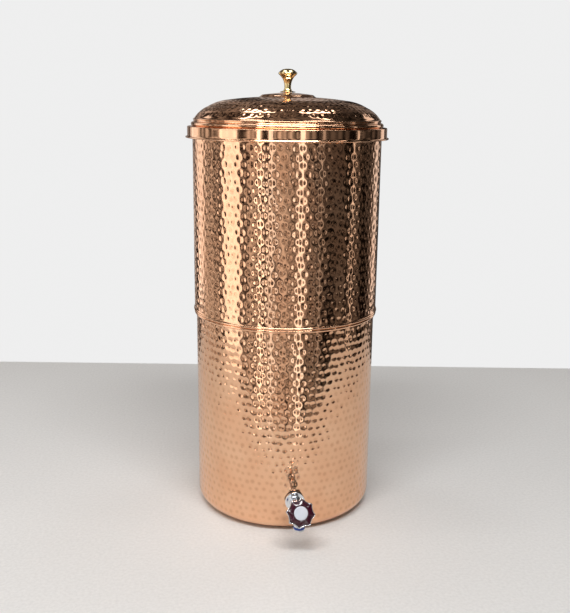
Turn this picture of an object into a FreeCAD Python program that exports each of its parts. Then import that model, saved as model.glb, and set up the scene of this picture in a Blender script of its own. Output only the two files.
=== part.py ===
"""Two-tier copper gravity water filter with a screw-down tap.

The frame is in millimetres, +Z up.  The origin is the middle of the flat bottom of the
lower vessel, and the tap points along -Y.  Every vessel is thin spun sheet, so its profile
is drawn once outside and once inside and turned about the vertical axis.
"""
import FreeCAD, Part
import math
import os

import Sketcher

SIZES = {
    # Lower vessel: stores the filtered water.  Its rim is rolled round a wire.
    "lower_radius": 117.5,
    "lower_wall": 0.8,
    "lower_corner": 18.0,
    "lower_rim_top": 267.2,
    "lower_curl": 1.9,
    "base_ring_radius": 66.0,
    "base_ring_depth": 1.6,
    "base_ring_width": 9.0,
    # Upper vessel: holds the raw water and the candles.
    "upper_radius": 120.0,
    "upper_wall": 0.8,
    "upper_corner": 7.0,
    "upper_rim_top": 502.2,
    "upper_curl": 2.5,
    "seam_bead": 1.55,
    "seam_bead_inset": 0.9,
    "seam_slope": 4.0,
    "spigot_depth": 24.0,
    "spigot_gap": 0.5,
    # Lid: a spun dome with a plain centre boss, a bead, a ledge, a band and a flared lip.
    "lid_wall": 0.7,
    "lid_band_gap": 1.6,
    "lid_band_height": 11.5,
    "lid_lip_reach": 2.4,
    "lid_lip_drop": 2.6,
    "lid_seat_gap": 0.3,
    "lid_ledge_width": 4.7,
    "lid_bead_height": 5.6,
    "lid_bead_depth": 3.2,
    "lid_shoulder_width": 18.6,
    "lid_shoulder_rise": 24.4,
    "lid_flank_width": 25.0,
    "lid_crown_rise": 32.6,
    "lid_boss_radius": 31.0,
    "lid_boss_foot": 35.5,
    "lid_boss_foot_rise": 36.4,
    "lid_boss_rise": 39.4,
    "lid_centre_rise": 42.2,
    "lid_shoulder_arc": 40.0,
    "lid_flank_arc": 60.0,
    "lid_crown_arc": 400.0,
    # Brass knob on the lid.
    "knob_collar_radius": 9.7,
    "knob_collar_height": 1.8,
    "knob_neck_radius": 4.2,
    "knob_head_radius": 11.9,
    "knob_head_height": 21.0,
    "knob_height": 27.0,
    "knob_flare_radius": 11.5,
    "knob_flutes": 8,
    "flute_radius": 1.9,
    "flute_depth": 0.7,
    "knob_stud_radius": 2.5,
    "knob_stud_length": 12.0,
    "knob_hole_gap": 0.3,
    "knob_washer_radius": 7.0,
    "knob_washer_height": 1.2,
    "knob_washer_gap": 0.5,
    "knob_nut_flats": 8.0,
    "knob_nut_height": 4.0,
    # Candles standing on the floor of the upper vessel.
    "candle_count": 2,
    "candle_offset": 52.0,
    "candle_radius": 31.0,
    "candle_wall": 7.0,
    "candle_straight": 88.0,
    "candle_cap_wall": 2.0,
    "candle_cap_height": 13.0,
    "candle_cap_floor": 2.5,
    "candle_stem_radius": 5.0,
    "candle_stem_bore": 2.5,
    "candle_stem_length": 24.0,
    "candle_hole_gap": 0.4,
    "candle_washer_radius": 12.0,
    "candle_washer_height": 2.5,
    "wing_hub_radius": 8.0,
    "wing_hub_height": 9.0,
    "wing_reach": 15.0,
    "wing_thickness": 3.2,
    "wing_height": 12.0,
    # Tap: where it sits and its cast body.
    "tap_height": 44.0,
    "shank_radius": 8.0,
    "shank_inside": 15.0,
    "shank_gap": 0.3,
    "flange_radius": 12.5,
    "flange_thickness": 3.0,
    "tap_washer_radius": 12.2,
    "tap_washer_height": 1.6,
    "barrel_radius": 7.4,
    "barrel_bore": 3.8,
    "seat_reach": 37.5,
    "bore_stop": 3.6,
    "lock_nut_flats": 22.0,
    "lock_nut_height": 5.5,
    # Tap: the valve on its raked axis.
    "valve_rake": 30.0,
    "housing_radius": 8.5,
    "housing_back": 5.0,
    "chamber_radius": 5.6,
    "chamber_depth": 8.0,
    "seat_bore": 3.0,
    "seat_bore_depth": 6.5,
    "bonnet_gap": 0.05,
    "bonnet_thread": 2.6,
    "bonnet_flats": 15.0,
    "bonnet_hex_height": 2.5,
    "bonnet_neck_radius": 6.2,
    "bonnet_neck_height": 2.0,
    "packing_radius": 4.2,
    "packing_height": 1.6,
    "gland_radius": 5.4,
    "gland_height": 1.1,
    "spindle_thread_radius": 4.4,
    "spindle_thread_length": 3.0,
    "spindle_radius": 2.5,
    "spindle_gap": 0.1,
    "spindle_bottom": 3.45,
    "valve_lift": 2.0,
    "jumper_radius": 5.0,
    "jumper_height": 1.2,
    "jumper_stem_radius": 1.6,
    "jumper_stem_length": 3.2,
    "valve_washer_radius": 4.6,
    "valve_washer_height": 1.8,
    "seat_clearance": 0.2,
    # Tap: spout and its plastic outlet.
    "spout_forward": 6.0,
    "spout_shoulder": 4.0,
    "spout_bore_shoulder": 1.0,
    "spout_radius": 6.8,
    "spout_bore": 3.7,
    "spout_drop": 12.5,
    "nozzle_bore": 3.6,
    "nozzle_tube_radius": 5.2,
    "nozzle_tube_length": 5.5,
    "nozzle_flange_radius": 6.6,
    "nozzle_flange_height": 2.5,
    "outlet_ring_radius": 7.2,
    "outlet_ring_height": 3.0,
    # Tap: the scalloped hand knob.
    "handle_lobes": 8,
    "handle_turn": -9.0,
    "handle_radius": 17.8,
    "handle_height": 8.3,
    "handle_start": 14.2,
    "scallop_radius": 14.0,
    "scallop_depth": 2.4,
    "handle_rim": 0.9,
    "handle_recess": 2.6,
    "handle_hollow_radius": 11.5,
    "handle_hollow_depth": 4.0,
    "handle_hub_radius": 5.8,
    "insert_gap": 0.15,
    "insert_edge": 2.3,
    "insert_centre": 4.2,
    "cap_radius": 8.4,
    "cap_seat_depth": 1.2,
    "cap_height": 1.7,
    "cap_crown": 0.5,
    "screw_radius": 1.5,
    "screw_length": 6.0,
    "screw_head_radius": 2.8,
    "screw_head_height": 1.6,
}

doc = FreeCAD.newDocument("WaterFilter")
sheet = doc.addObject("Spreadsheet::Sheet", "Sizes")
for row, (alias, value) in enumerate(SIZES.items(), start=1):
    sheet.set(f"A{row}", alias)
    sheet.set(f"B{row}", str(value))
    sheet.setAlias(f"B{row}", alias)
doc.recompute()


class Size:
    """A length that knows its value and the expression that gives it from the sheet."""

    def __init__(self, value, text):
        self.value = float(value)
        self.text = text

    def _with(self, other, sign, value):
        return Size(value, f"({self.text} {sign} {other.text})")

    def __add__(self, other):
        other = as_size(other)
        return self._with(other, "+", self.value + other.value)

    def __sub__(self, other):
        other = as_size(other)
        return self._with(other, "-", self.value - other.value)

    def __mul__(self, other):
        other = as_size(other)
        return self._with(other, "*", self.value * other.value)

    def __truediv__(self, other):
        other = as_size(other)
        return self._with(other, "/", self.value / other.value)

    def __radd__(self, other):
        return as_size(other) + self

    def __rsub__(self, other):
        return as_size(other) - self

    __rmul__ = __mul__

    def __neg__(self):
        return Size(-self.value, f"(-{self.text})")


def as_size(number):
    if isinstance(number, Size):
        return number
    return Size(number, repr(float(number)))


def cell(alias):
    return Size(sheet.get(alias), f"Sizes.{alias}")


def root(size):
    return Size(math.sqrt(size.value), f"sqrt({size.text})")


def cosine(size):
    return Size(math.cos(math.radians(size.value)), f"cos({size.text} * 1 deg)")


def sine(size):
    return Size(math.sin(math.radians(size.value)), f"sin({size.text} * 1 deg)")


def tangent(size):
    return sine(size) / cosine(size)


def dome_radius(reach, rise):
    """Radius of the ball whose cap reaches that far out and rises that high."""
    return (reach * reach + rise * rise) / (rise * 2)


def bind(thing, **properties):
    """Ties properties of an object to the sheet."""
    for name, size in properties.items():
        thing.setExpression(name.replace("__", "."), as_size(size).text)


def place(thing, x=0, y=0, z=0, axis=(0, 0, 1), turn=0):
    """Stands an object at a point of the frame, turned about an axis through that point."""
    spot = [as_size(size) for size in (x, y, z)]
    angle = as_size(turn)
    thing.Placement = FreeCAD.Placement(
        FreeCAD.Vector(*[size.value for size in spot]),
        FreeCAD.Rotation(FreeCAD.Vector(*axis), angle.value),
    )
    for letter, size in zip("xyz", spot):
        thing.setExpression(f"Placement.Base.{letter}", size.text)
    if angle.value:
        thing.setExpression("Placement.Rotation.Angle", f"{angle.text} * 1 deg")


def new_body(name):
    body = doc.addObject("PartDesign::Body", name)
    body.Label = name
    return body


def plane(body, role):
    return [part for part in body.Origin.OriginFeatures if part.Role == role][0]


def new_sketch(body, name, role="XZ_Plane", lift=None):
    sketch = body.newObject("Sketcher::SketchObject", name)
    sketch.AttachmentSupport = [(plane(body, role), "")]
    sketch.MapMode = "FlatFace"
    if lift is not None:
        sketch.AttachmentOffset = FreeCAD.Placement(
            FreeCAD.Vector(0, 0, lift.value), FreeCAD.Rotation()
        )
        sketch.setExpression("AttachmentOffset.Base.z", lift.text)
    return sketch


def arc_between(start, end, radius, left):
    """The short arc of that radius; left puts its centre on the left of the way travelled."""
    chord = end - start
    half = chord.Length / 2
    reach = math.sqrt(max(radius * radius - half * half, 0.0))
    side = FreeCAD.Vector(-chord.y, chord.x, 0).normalize() * (reach if left else -reach)
    centre = (start + end) / 2 + side
    circle = Part.Circle(centre, FreeCAD.Vector(0, 0, 1), radius)
    first = math.atan2(start.y - centre.y, start.x - centre.x)
    last = math.atan2(end.y - centre.y, end.x - centre.x)
    if left:
        return Part.ArcOfCircle(circle, first, last), False
    return Part.ArcOfCircle(circle, last, first), True


def pin_point(sketch, index, end, across, up):
    """Holds one point of the sketch at a place that the sheet gives."""
    if across.value == 0:
        sketch.addConstraint(Sketcher.Constraint("PointOnObject", index, end, -2))
    else:
        number = sketch.addConstraint(
            Sketcher.Constraint("DistanceX", -1, 1, index, end, across.value)
        )
        sketch.setExpression(f"Constraints[{number}]", across.text)
    if up.value == 0:
        sketch.addConstraint(Sketcher.Constraint("PointOnObject", index, end, -1))
    else:
        number = sketch.addConstraint(
            Sketcher.Constraint("DistanceY", -1, 1, index, end, up.value)
        )
        sketch.setExpression(f"Constraints[{number}]", up.text)


def draw_outline(sketch, corners):
    """Draws a closed outline of lines and arcs.

    A corner is (across, up) for a straight run to the next corner, or
    (across, up, radius, "left" or "right") for an arc whose centre is on that side.
    """
    spots = [(as_size(corner[0]), as_size(corner[1])) for corner in corners]
    vectors = [FreeCAD.Vector(across.value, up.value, 0) for across, up in spots]
    ends = []
    for number, corner in enumerate(corners):
        start = vectors[number]
        finish = vectors[(number + 1) % len(corners)]
        if len(corner) == 2:
            sketch.addGeometry(Part.LineSegment(start, finish), False)
            ends.append((1, 2))
            continue
        radius = as_size(corner[2])
        arc, backwards = arc_between(start, finish, radius.value, corner[3] == "left")
        sketch.addGeometry(arc, False)
        ends.append((2, 1) if backwards else (1, 2))
    for number, (across, up) in enumerate(spots):
        before = number - 1 if number else len(corners) - 1
        sketch.addConstraint(
            Sketcher.Constraint("Coincident", before, ends[before][1], number, ends[number][0])
        )
        pin_point(sketch, number, ends[number][0], across, up)
    for number, corner in enumerate(corners):
        if len(corner) > 2:
            radius = as_size(corner[2])
            held = sketch.addConstraint(Sketcher.Constraint("Radius", number, radius.value))
            sketch.setExpression(f"Constraints[{held}]", radius.text)


def draw_circle(sketch, across, up, radius):
    across, up, radius = as_size(across), as_size(up), as_size(radius)
    centre = FreeCAD.Vector(across.value, up.value, 0)
    index = sketch.addGeometry(Part.Circle(centre, FreeCAD.Vector(0, 0, 1), radius.value), False)
    pin_point(sketch, index, 3, across, up)
    held = sketch.addConstraint(Sketcher.Constraint("Radius", index, radius.value))
    sketch.setExpression(f"Constraints[{held}]", radius.text)


def turned(name, corners):
    """A body turned about its own upright axis from an outline of (radius, height) corners."""
    body = new_body(name)
    sketch = new_sketch(body, name + "_profile")
    draw_outline(sketch, corners)
    feature = body.newObject("PartDesign::Revolution", name + "_turn")
    feature.Profile = sketch
    feature.ReferenceAxis = (sketch, ["V_Axis"])
    feature.Angle = 360
    body.Tip = feature
    doc.recompute()
    return body


def cut_prism(body, sketch, name, length, towards_normal):
    """Cuts a drawn outline out of a body, and stops the build if nothing was removed."""
    before = body.Shape.Volume
    pocket = body.newObject("PartDesign::Pocket", name)
    pocket.Profile = sketch
    pocket.Reversed = towards_normal
    bind(pocket, Length=length)
    body.Tip = pocket
    doc.recompute()
    if body.Shape.Volume >= before - 1e-6:
        raise RuntimeError(f"{name} cuts nothing")
    return pocket


def ring(name, inner, outer, low, height):
    """A plain turned ring, such as a washer."""
    return turned(name, [(inner, low), (outer, low), (outer, low + height), (inner, low + height)])


def primitive(kind, name, **properties):
    thing = doc.addObject(kind, name)
    bind(thing, **properties)
    return thing


def joined(name, things):
    fused = doc.addObject("Part::MultiFuse", name)
    fused.Shapes = things
    fused.Label = name
    return fused


def cut_from(name, base, tool):
    """Takes one solid out of another."""
    cut = doc.addObject("Part::Cut", name)
    cut.Base = base
    cut.Tool = tool
    cut.Label = name
    return cut


def nut(name, flats, height, bore, low):
    """A hexagon nut on its own upright axis."""
    hexagon = primitive(
        "Part::Prism", name + "_hex", Circumradius=flats / root(as_size(3.0)), Height=height
    )
    hexagon.Polygon = 6
    place(hexagon, z=low)
    hole = primitive("Part::Cylinder", name + "_hole", Radius=bore, Height=height + 2)
    place(hole, z=low - 1)
    return cut_from(name, hexagon, hole)


# Lower vessel: one spun shell with a rounded base and a rim rolled outwards round a wire.
lower_radius = cell("lower_radius")
lower_wall = cell("lower_wall")
lower_corner = cell("lower_corner")
lower_inner = lower_radius - lower_wall
lower_rim_top = cell("lower_rim_top")


def wired_rim(inner_radius, rim_top, curl, wall):
    """Corners of a rim rolled outwards round a wire, from the inner wall to the outer."""
    middle = inner_radius + curl
    level = rim_top - curl
    tuck = curl - wall
    return [
        (inner_radius, level, curl, "right"),
        (middle, rim_top, curl, "right"),
        (middle + curl, level, curl, "right"),
        (inner_radius + wall, level - root(curl * curl - tuck * tuck)),
    ]


ring_radius = cell("base_ring_radius")
ring_depth = cell("base_ring_depth")
ring_width = cell("base_ring_width")
lower_vessel = turned(
    "lower_vessel",
    [
        (0, 0),
        (0, lower_wall),
        (ring_radius - ring_width / 2, lower_wall),
        (ring_radius - ring_width / 4, lower_wall + ring_depth),
        (ring_radius + ring_width / 4, lower_wall + ring_depth),
        (ring_radius + ring_width / 2, lower_wall),
        (lower_radius - lower_corner, lower_wall, lower_corner - lower_wall, "left"),
        (lower_inner, lower_corner),
        *wired_rim(lower_inner, lower_rim_top, cell("lower_curl"), lower_wall),
        (lower_radius, lower_corner, lower_corner, "right"),
        (lower_radius - lower_corner, 0),
        (ring_radius + ring_width / 2, 0),
        (ring_radius + ring_width / 4, ring_depth),
        (ring_radius - ring_width / 4, ring_depth),
        (ring_radius - ring_width / 2, 0),
    ],
)
tap_height = cell("tap_height")
shank_radius = cell("shank_radius")
tap_hole = new_sketch(lower_vessel, "tap_hole")
draw_circle(tap_hole, 0, tap_height, shank_radius + cell("shank_gap"))
cut_prism(lower_vessel, tap_hole, "tap_hole_cut", lower_radius + 10, True)

# Upper vessel: rolled mouth, bead that sits on the lower rim, spigot and flat floor.
upper_radius = cell("upper_radius")
upper_wall = cell("upper_wall")
upper_inner = upper_radius - upper_wall
bead = cell("seam_bead")
half_wall = upper_wall / 2
lower_rim_radius = lower_inner + cell("lower_curl") * 2
bead_middle = lower_rim_radius - cell("seam_bead_inset")
bead_root = bead_middle + half_wall
bead_reach = root(bead * bead - half_wall * half_wall)
bead_level = lower_rim_top + bead_reach
seat_top = bead_level + bead_reach
wall_foot = seat_top + cell("seam_slope")
spigot_radius = lower_inner - cell("spigot_gap")
floor_low = lower_rim_top - cell("spigot_depth")
floor_top = floor_low + upper_wall
corner = cell("upper_corner")
upper_rim_top = cell("upper_rim_top")
upper_vessel = turned(
    "upper_vessel",
    [
        (0, floor_low),
        (0, floor_top),
        (spigot_radius - corner, floor_top, corner - upper_wall, "left"),
        (spigot_radius - upper_wall, floor_low + corner),
        (spigot_radius - upper_wall, seat_top),
        (upper_inner, wall_foot),
        *wired_rim(upper_inner, upper_rim_top, cell("upper_curl"), upper_wall),
        (upper_radius, wall_foot),
        (bead_root, seat_top, bead, "right"),
        (bead_middle + bead, bead_level, bead, "right"),
        (bead_root, lower_rim_top),
        (spigot_radius, lower_rim_top),
        (spigot_radius, floor_low + corner, corner, "right"),
        (spigot_radius - corner, floor_low),
    ],
)
candle_count = SIZES["candle_count"]
candle_offset = cell("candle_offset")
stem_radius = cell("candle_stem_radius")


def candle_spot(number):
    """Centre of one candle: they stand evenly round the middle of the floor."""
    turn = as_size(360.0 * number / candle_count)
    return candle_offset * cosine(turn), candle_offset * sine(turn)


for number in range(candle_count):
    hole_sketch = new_sketch(upper_vessel, f"candle_hole_{number + 1}", "XY_Plane")
    draw_circle(hole_sketch, *candle_spot(number), stem_radius + cell("candle_hole_gap"))
    cut_prism(upper_vessel, hole_sketch, f"candle_hole_{number + 1}_cut", floor_top + 5, True)

# Lid: every level is measured up from the foot of its bead, on the ledge over the rim.
lid_wall = cell("lid_wall")
ledge_top = upper_rim_top + cell("lid_seat_gap") + lid_wall
upper_rim_radius = upper_inner + cell("upper_curl") * 2
band_radius = upper_rim_radius + cell("lid_band_gap") + lid_wall
band_foot = ledge_top - cell("lid_band_height")
lip_drop = cell("lid_lip_drop")
lip_radius = band_radius + cell("lid_lip_reach")
bead_radius = band_radius - cell("lid_ledge_width")
bead_height = cell("lid_bead_height")
neck_radius = bead_radius - cell("lid_bead_depth")
shoulder_radius = neck_radius - cell("lid_shoulder_width")
crown_radius = shoulder_radius - cell("lid_flank_width")
stud_radius = cell("knob_stud_radius")
stud_hole = stud_radius + cell("knob_hole_gap")
boss_foot = cell("lid_boss_foot")
boss_radius = cell("lid_boss_radius")
lid_outside = [
    (stud_hole, cell("lid_centre_rise"), cell("lid_crown_arc"), "right"),
    (boss_radius, cell("lid_boss_rise")),
    (boss_foot, cell("lid_boss_foot_rise"), cell("lid_crown_arc"), "right"),
    (crown_radius, cell("lid_crown_rise"), cell("lid_flank_arc"), "right"),
    (shoulder_radius, cell("lid_shoulder_rise"), cell("lid_shoulder_arc"), "right"),
    (neck_radius, bead_height + 1.6),
    (neck_radius, bead_height),
    (bead_radius - 1.4, bead_height, 1.4, "right"),
    (bead_radius, bead_height - 1.4),
    (bead_radius, 0.0),
    (band_radius - 0.8, 0.0, 0.8, "right"),
    (band_radius, -0.8),
    (band_radius, band_foot - ledge_top, 3.0, "left"),
    (lip_radius, band_foot - ledge_top - lip_drop),
]
lid_profile = [(corner[0], ledge_top + corner[1], *corner[2:]) for corner in lid_outside]
inside_turn = {"left": "right", "right": "left"}
lid_inside = []
for number in range(len(lid_outside) - 1, -1, -1):
    across, up = lid_outside[number][:2]
    spot = (as_size(across) - lid_wall, ledge_top + up - lid_wall)
    arc = lid_outside[number - 1][2:] if number else ()
    lid_inside.append((*spot, arc[0], inside_turn[arc[1]]) if arc else spot)
# The lip is cut square, and the hole for the stud goes straight through.
lid_inside[0] = (lip_radius - lid_wall, ledge_top + lid_outside[-1][1], *lid_inside[0][2:])
lid_inside[-1] = (stud_hole, lid_inside[-1][1])
lid_shell = turned("lid_shell", lid_profile + lid_inside)

# Brass knob, its collar, and the washer and nut that hold it from inside the lid.
lid_top = ledge_top + cell("lid_centre_rise")
collar_height = cell("knob_collar_height")
collar_radius = cell("knob_collar_radius")
knob_foot = lid_top + collar_height
knob_collar = turned(
    "lid_knob_collar",
    [
        (stud_hole, lid_top),
        (collar_radius, lid_top),
        (collar_radius, lid_top + collar_height * 0.5),
        (collar_radius * 0.62, knob_foot),
        (stud_hole, knob_foot),
    ],
)
neck = cell("knob_neck_radius")
head = cell("knob_head_radius")
head_level = knob_foot + cell("knob_head_height")
knob_top = knob_foot + cell("knob_height")
flare = cell("knob_flare_radius")
flare_start = (neck * 1.05, knob_foot + cell("knob_head_height") * 0.45)
flare_end = (head * 0.9, head_level - 1.6)
knob_blank = turned(
    "knob_blank",
    [
        (0, knob_foot - cell("knob_stud_length")),
        (stud_radius, knob_foot - cell("knob_stud_length")),
        (stud_radius, knob_foot),
        (neck * 1.3, knob_foot),
        (neck * 1.3, knob_foot + 1.2, 1.6, "left"),
        (neck, knob_foot + 2.8),
        (*flare_start, flare, "right"),
        (*flare_end, 1.9, "left"),
        (head, head_level, dome_radius(head, knob_top - head_level), "left"),
        (0, knob_top),
    ],
)
# Each flute follows the flare: its cutter is a ring round the middle of the flare's arc.
run = flare_end[0] - flare_start[0]
rise = flare_end[1] - flare_start[1]
chord = root(run * run + rise * rise)
reach = root(flare * flare - chord * chord / 4)
flute_out = (flare_start[0] + flare_end[0]) / 2 + rise / chord * reach
flute_up = (flare_start[1] + flare_end[1]) / 2 - run / chord * reach
flute_radius = cell("flute_radius")
flute_path = flare + cell("flute_depth") - flute_radius
flutes = SIZES["knob_flutes"]
lid_knob = knob_blank
for number in range(flutes):
    turn = as_size(360.0 * number / flutes)
    cutter = primitive(
        "Part::Torus", f"flute_cutter_{number + 1}", Radius1=flute_path, Radius2=flute_radius
    )
    place(cutter, flute_out * cosine(turn), flute_out * sine(turn), flute_up)
    upright_turn = FreeCAD.Rotation(FreeCAD.Vector(0, 0, 1), turn.value)
    cutter.Placement.Rotation = upright_turn * FreeCAD.Rotation(FreeCAD.Vector(1, 0, 0), 90)
    name = "lid_knob" if number == flutes - 1 else f"knob_flute_{number + 1}"
    lid_knob = cut_from(name, lid_knob, cutter)
washer_low = lid_top - lid_wall - cell("knob_washer_gap") - cell("knob_washer_height")
knob_washer = ring(
    "lid_knob_washer",
    stud_hole,
    cell("knob_washer_radius"),
    washer_low,
    cell("knob_washer_height"),
)
knob_nut_height = cell("knob_nut_height")
knob_nut = nut(
    "lid_knob_nut",
    cell("knob_nut_flats"),
    knob_nut_height,
    stud_radius,
    washer_low - knob_nut_height,
)

# Candles: hollow ceramic dome in a plastic cap whose stem passes through the floor.
candle_radius = cell("candle_radius")
candle_wall = cell("candle_wall")
candle_straight = cell("candle_straight")
cap_radius = candle_radius + cell("candle_cap_wall")
cap_height = cell("candle_cap_height")
cap_floor = cell("candle_cap_floor")
washer_height = cell("candle_washer_height")
stem_bore = cell("candle_stem_bore")
hub_radius = cell("wing_hub_radius")
hub_height = cell("wing_hub_height")
cap_low = floor_top + washer_height
dome_low = cap_low + cap_floor
wing_top = floor_low - washer_height


def candle(number):
    """All the pieces of one candle, each standing at the candle's own spot."""
    name = f"candle_{number + 1}"
    inner = candle_radius - candle_wall
    bend = dome_low + candle_straight
    dome = turned(
        name + "_ceramic",
        [
            (inner, dome_low),
            (candle_radius, dome_low),
            (candle_radius, bend, candle_radius, "left"),
            (0, bend + candle_radius),
            (0, bend + inner, inner, "right"),
            (inner, bend),
        ],
    )
    cap = turned(
        name + "_cap",
        [
            (stem_bore, cap_low - cell("candle_stem_length")),
            (stem_radius, cap_low - cell("candle_stem_length")),
            (stem_radius, cap_low),
            (cap_radius - 3.0, cap_low, 3.0, "left"),
            (cap_radius, cap_low + 3.0),
            (cap_radius, cap_low + cap_height),
            (candle_radius, cap_low + cap_height),
            (candle_radius, dome_low),
            (stem_bore, dome_low),
        ],
    )
    outer = cell("candle_washer_radius")
    top = ring(name + "_top_washer", stem_radius, outer, floor_top, washer_height)
    bottom = ring(name + "_bottom_washer", stem_radius, outer, wing_top, washer_height)
    hub = primitive("Part::Cylinder", name + "_hub", Radius=hub_radius, Height=hub_height)
    place(hub, z=wing_top - hub_height)
    reach = cell("wing_reach")
    blade = primitive(
        "Part::Box",
        name + "_blade",
        Length=reach * 2,
        Width=cell("wing_thickness"),
        Height=cell("wing_height"),
    )
    place(blade, -reach, -cell("wing_thickness") / 2, wing_top - cell("wing_height") - 1)
    bore = primitive("Part::Cylinder", name + "_thread", Radius=stem_radius, Height=hub_height * 3)
    place(bore, z=wing_top - hub_height * 2)
    wings = joined(name + "_wings", [hub, blade])
    wing_nut = cut_from(name + "_wing_nut", wings, bore)
    spot = candle_spot(number)
    for piece in (dome, cap, top, bottom, wing_nut):
        place(piece, *spot)
    return [dome, cap, top, bottom, wing_nut]


candle_pieces = [piece for number in range(candle_count) for piece in candle(number)]

# Tap body: a shank through the wall, a flange, a barrel, a raked valve housing and a spout.
flange_radius = cell("flange_radius")
flange_thickness = cell("flange_thickness")
tap_washer = cell("tap_washer_height")
barrel_bore = cell("barrel_bore")
flange_at = lower_radius + tap_washer
seat_at = lower_radius + cell("seat_reach")
rake = cell("valve_rake")
shank_end = lower_inner - cell("shank_inside")


def along_tap(name, radius, start, end):
    """A cylinder on the level axis of the tap, between two distances from the vessel's axis."""
    rod = primitive("Part::Cylinder", name, Radius=radius, Height=end - start)
    place(rod, y=-start, z=tap_height, axis=(1, 0, 0), turn=90)
    return rod


def on_valve(thing):
    """Stands a piece drawn on its own upright axis on the raked axis of the valve."""
    place(thing, y=-seat_at, z=tap_height, axis=(1, 0, 0), turn=90 - rake)
    return thing


def along_valve(name, radius, start, end):
    """A cylinder on the raked valve axis, measured outwards from the seat."""
    rod = primitive("Part::Cylinder", name, Radius=radius, Height=end - start)
    place(
        rod,
        y=-seat_at - start * cosine(rake),
        z=tap_height + start * sine(rake),
        axis=(1, 0, 0),
        turn=90 - rake,
    )
    return rod


spout_at = seat_at + cell("spout_forward")
spout_foot = tap_height - cell("spout_drop")
spout_radius = cell("spout_radius")
housing_radius = cell("housing_radius")
chamber_depth = cell("chamber_depth")


def upright(name, radius, low, high):
    rod = primitive("Part::Cylinder", name, Radius=radius, Height=high - low)
    place(rod, y=-spout_at, z=low)
    return rod


tap_mass = joined(
    "tap_mass",
    [
        along_tap("tap_shank", shank_radius, shank_end, flange_at + 1),
        along_tap("tap_flange", flange_radius, flange_at, flange_at + flange_thickness),
        along_tap("tap_barrel", cell("barrel_radius"), flange_at + 1, seat_at),
        along_valve("tap_housing", housing_radius, -cell("housing_back"), chamber_depth),
        upright("tap_spout", spout_radius, spout_foot, tap_height - cell("spout_shoulder")),
    ],
)
nozzle_tube = cell("nozzle_tube_radius")
nozzle_tube_length = cell("nozzle_tube_length")
tap_ways = [
    along_tap("tap_inlet", barrel_bore, shank_end - 1, seat_at - cell("bore_stop")),
    along_valve("tap_seat_bore", cell("seat_bore"), -cell("seat_bore_depth"), as_size(1.0)),
    upright(
        "tap_spout_bore",
        cell("spout_bore"),
        spout_foot - 1,
        tap_height - cell("spout_bore_shoulder"),
    ),
    upright("tap_spout_socket", nozzle_tube, spout_foot - 1, spout_foot + nozzle_tube_length),
    along_valve("tap_chamber", cell("chamber_radius"), as_size(0.0), chamber_depth + 1),
]
tap_body = tap_mass
for way in tap_ways:
    name = "tap_body" if way is tap_ways[-1] else way.Name + "_cut"
    tap_body = cut_from(name, tap_body, way)

# Outlet: a white nozzle pushed up into the spout, with a blue ring trapped above its flange.
ring_height = cell("outlet_ring_height")
nozzle_flange = cell("nozzle_flange_radius")
nozzle_low = spout_foot - ring_height - cell("nozzle_flange_height")
outlet_nozzle = turned(
    "outlet_nozzle",
    [
        (cell("nozzle_bore"), nozzle_low),
        (nozzle_flange - 0.8, nozzle_low),
        (nozzle_flange, nozzle_low + 0.8),
        (nozzle_flange, spout_foot - ring_height),
        (nozzle_tube, spout_foot - ring_height),
        (nozzle_tube, spout_foot + nozzle_tube_length),
        (cell("nozzle_bore"), spout_foot + nozzle_tube_length),
    ],
)
outlet_ring = ring(
    "outlet_ring", nozzle_tube, cell("outlet_ring_radius"), spout_foot - ring_height, ring_height
)
for piece in (outlet_nozzle, outlet_ring):
    place(piece, y=-spout_at)

# Washers each side of the wall, shaped to it, and the nut that pulls the tap tight.
washer_radius = cell("tap_washer_radius")


def wall_drum(name, radius):
    return primitive("Part::Cylinder", name, Radius=radius, Height=tap_height * 2)


outer_blank = cut_from(
    "outer_washer_blank",
    along_tap("outer_washer_disc", washer_radius, lower_radius - 3, flange_at),
    along_tap("outer_washer_hole", shank_radius, lower_radius - 4, flange_at + 1),
)
tap_outer_washer = cut_from("tap_outer_washer", outer_blank, wall_drum("outer_drum", lower_radius))
inner_face = lower_inner - washer_radius * washer_radius / (lower_inner * 2) - tap_washer
inner_blank = cut_from(
    "inner_washer_blank",
    along_tap("inner_washer_disc", washer_radius, inner_face, lower_radius),
    along_tap("inner_washer_hole", shank_radius, inner_face - 1, lower_radius + 1),
)
tap_inner_washer = doc.addObject("Part::Common", "tap_inner_washer")
tap_inner_washer.Base = inner_blank
tap_inner_washer.Tool = wall_drum("inner_drum", lower_inner)
tap_inner_washer.Label = "tap_inner_washer"
lock_nut_height = cell("lock_nut_height")
tap_lock_nut = nut(
    "tap_lock_nut", cell("lock_nut_flats"), lock_nut_height, shank_radius, as_size(0.0)
)
place(tap_lock_nut, y=lock_nut_height - inner_face, z=tap_height, axis=(1, 0, 0), turn=90)

# Bonnet, packing and gland: they close the valve chamber round the spindle.
spindle_radius = cell("spindle_radius")
spindle_gap = cell("spindle_gap")
thread_radius = cell("spindle_thread_radius")
bonnet_low = chamber_depth - cell("bonnet_thread")
hex_top = chamber_depth + cell("bonnet_hex_height")
neck_top = hex_top + cell("bonnet_neck_height")
packing_low = neck_top - cell("packing_height")
thread_top = cell("spindle_bottom") + cell("spindle_thread_length") + cell("valve_lift") + 0.3
bonnet_core = turned(
    "bonnet_core",
    [
        (thread_radius + spindle_gap, bonnet_low),
        (cell("chamber_radius") - cell("bonnet_gap"), bonnet_low),
        (cell("chamber_radius") - cell("bonnet_gap"), chamber_depth),
        (cell("bonnet_neck_radius"), chamber_depth),
        (cell("bonnet_neck_radius"), neck_top),
        (cell("packing_radius"), neck_top),
        (cell("packing_radius"), packing_low),
        (spindle_radius + spindle_gap, packing_low),
        (spindle_radius + spindle_gap, thread_top),
        (thread_radius + spindle_gap, thread_top),
    ],
)
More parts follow.
